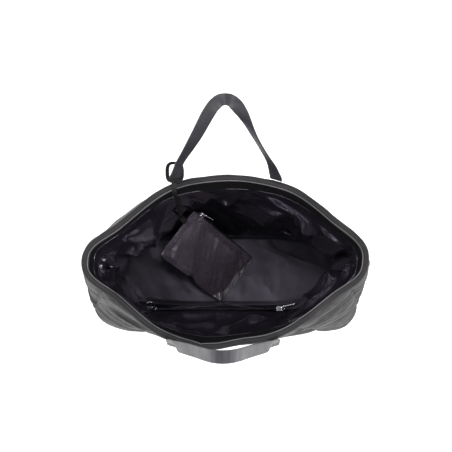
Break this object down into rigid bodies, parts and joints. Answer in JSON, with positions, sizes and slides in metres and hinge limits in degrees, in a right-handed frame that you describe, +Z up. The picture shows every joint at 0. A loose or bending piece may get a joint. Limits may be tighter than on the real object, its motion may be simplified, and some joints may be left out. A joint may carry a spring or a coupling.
{
  "type": "quilted tote bag",
  "caption": "Open-top quilted fabric tote with webbing handles, satin lining, zipped wall pocket and a small zipped pouch on a tether",
  "frame": {"origin": "centre of the flat face that the base rests on", "axes": "+X along the bag's width, +Y towards its rear wall, +Z up out of the mouth"},
  "size_m": [0.4261, 0.3389, 0.577],
  "materials": {
    "quilted_shell": "satin",
    "satin_lining": "glossy satin",
    "woven_facing": "matte woven",
    "satin_piping": "satin",
    "handle_webbing": "satin woven",
    "stitching": "thread",
    "tether_strap": "matte woven",
    "zip_tape": "woven tape",
    "zip_coil": "moulded coil",
    "bright_zip_metal": "polished",
    "dark_ring_metal": "dark nickel",
    "base_stiffener": "sheet",
    "pouch_cloth": "satin"
  },
  "bodies": {
    "bag": {"rear_panel": "quilted_shell", "front_panel": "quilted_shell", "base_panel": "quilted_shell", "base_board": "base_stiffener", "base_lining": "satin_lining", "rear_lining": "satin_lining", "front_lining": "satin_lining", "rear_facing": "woven_facing", "front_facing": "woven_facing", "rear_hem": "quilted_shell", "front_hem": "quilted_shell", "mouth_piping": "satin_piping", "left_side_seam": "woven_facing", "right_side_seam": "woven_facing", "rear_strap_ends": "handle_webbing", "front_strap_ends": "handle_webbing", "rear_bar_tacks": "stitching", "front_bar_tacks": "stitching", "pocket_bag": "satin_lining", "pocket_zip_tape": "zip_tape", "pocket_zip_chain": "zip_coil", "pocket_zip_stops": "bright_zip_metal", "key_ring_tab": "woven_facing", "tether": "tether_strap"},
    "rear_handle": {"rear_handle": "handle_webbing", "tether_loop": "tether_strap"},
    "front_handle": {"front_handle": "handle_webbing"},
    "pocket_slider": {"pocket_slider": "bright_zip_metal"},
    "pocket_pull": {"pocket_pull": "bright_zip_metal"},
    "key_ring": {"key_ring": "dark_ring_metal"},
    "pouch": {"pouch_front_wall": "pouch_cloth", "pouch_back_wall": "pouch_cloth", "pouch_zip_tape": "zip_tape", "pouch_zip_chain": "zip_coil", "pouch_zip_stops": "bright_zip_metal", "pouch_tab": "pouch_cloth"},
    "pouch_slider": {"pouch_slider": "bright_zip_metal"},
    "pouch_pull": {"pouch_pull": "bright_zip_metal"}
  },
  "joints": [
    {"name": "rear_handle_swing", "type": "hinge", "parent": "bag", "child": "rear_handle", "pos_m": [-0.001, 0.1185, 0.336], "axis": [1, 0, 0], "range_deg": [-140, 44], "deforming": ["tether_loop", "tether"]},
    {"name": "front_handle_swing", "type": "hinge", "parent": "bag", "child": "front_handle", "pos_m": [-0.004, -0.118, 0.336], "axis": [1, 0, 0], "range_deg": [-29, 150]},
    {"name": "pocket_zip_slide", "type": "slide", "parent": "bag", "child": "pocket_slider", "axis": [-1, 0, 0], "range_m": [0, 0.176]},
    {"name": "pocket_pull_swing", "type": "hinge", "parent": "pocket_slider", "child": "pocket_pull", "pos_m": [0.08, -0.0643, 0.218], "axis": [0, 0, 1], "range_deg": [-10, 150]},
    {"name": "key_ring_swing", "type": "hinge", "parent": "bag", "child": "key_ring", "pos_m": [-0.114, -0.0652, 0.2244], "axis": [1, 0, 0], "range_deg": [-30, 60]},
    {"name": "pouch_lift", "type": "slide", "parent": "bag", "child": "pouch", "axis": [0, 0, 1], "range_m": [0, 0.13], "deforming": ["tether"]},
    {"name": "pouch_zip_slide", "type": "slide", "parent": "pouch", "child": "pouch_slider", "axis": [0.6377, -0.4894, -0.5948], "range_m": [0, 0.112]},
    {"name": "pouch_pull_swing", "type": "hinge", "parent": "pouch_slider", "child": "pouch_pull", "pos_m": [-0.03747, 0.08637, 0.0981], "axis": [0.4719, -0.3621, 0.8039], "range_deg": [-6, 28]}
  ]
}
